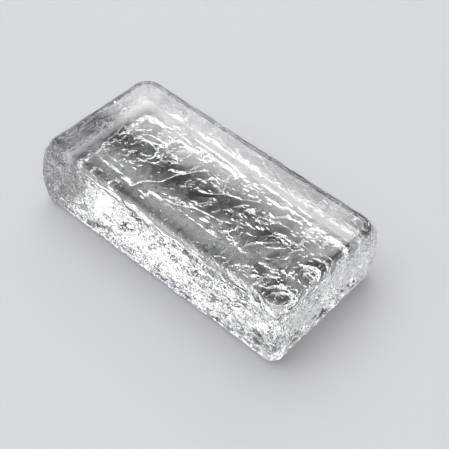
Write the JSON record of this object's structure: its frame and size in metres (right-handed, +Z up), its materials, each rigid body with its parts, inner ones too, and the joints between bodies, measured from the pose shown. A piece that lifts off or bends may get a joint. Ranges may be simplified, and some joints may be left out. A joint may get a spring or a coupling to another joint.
{
  "type": "solid cast glass block",
  "caption": "Solid cast clear glass block with a smooth top, rolled rims, rounded upright corners and waved walls, for light-passing masonry.",
  "frame": {"origin": "middle of the underside, on the surface that the block lies on", "axes": "+X along the block's length, +Y across its width, +Z up through its height to the smooth top"},
  "size_m": [0.2, 0.1, 0.05],
  "materials": {
    "clear_glass": "clear colourless glass, fire-polished smooth top, chill-waved sides and underside"
  },
  "bodies": {
    "root": {"glass_block": "clear_glass"}
  },
  "joints": []
}
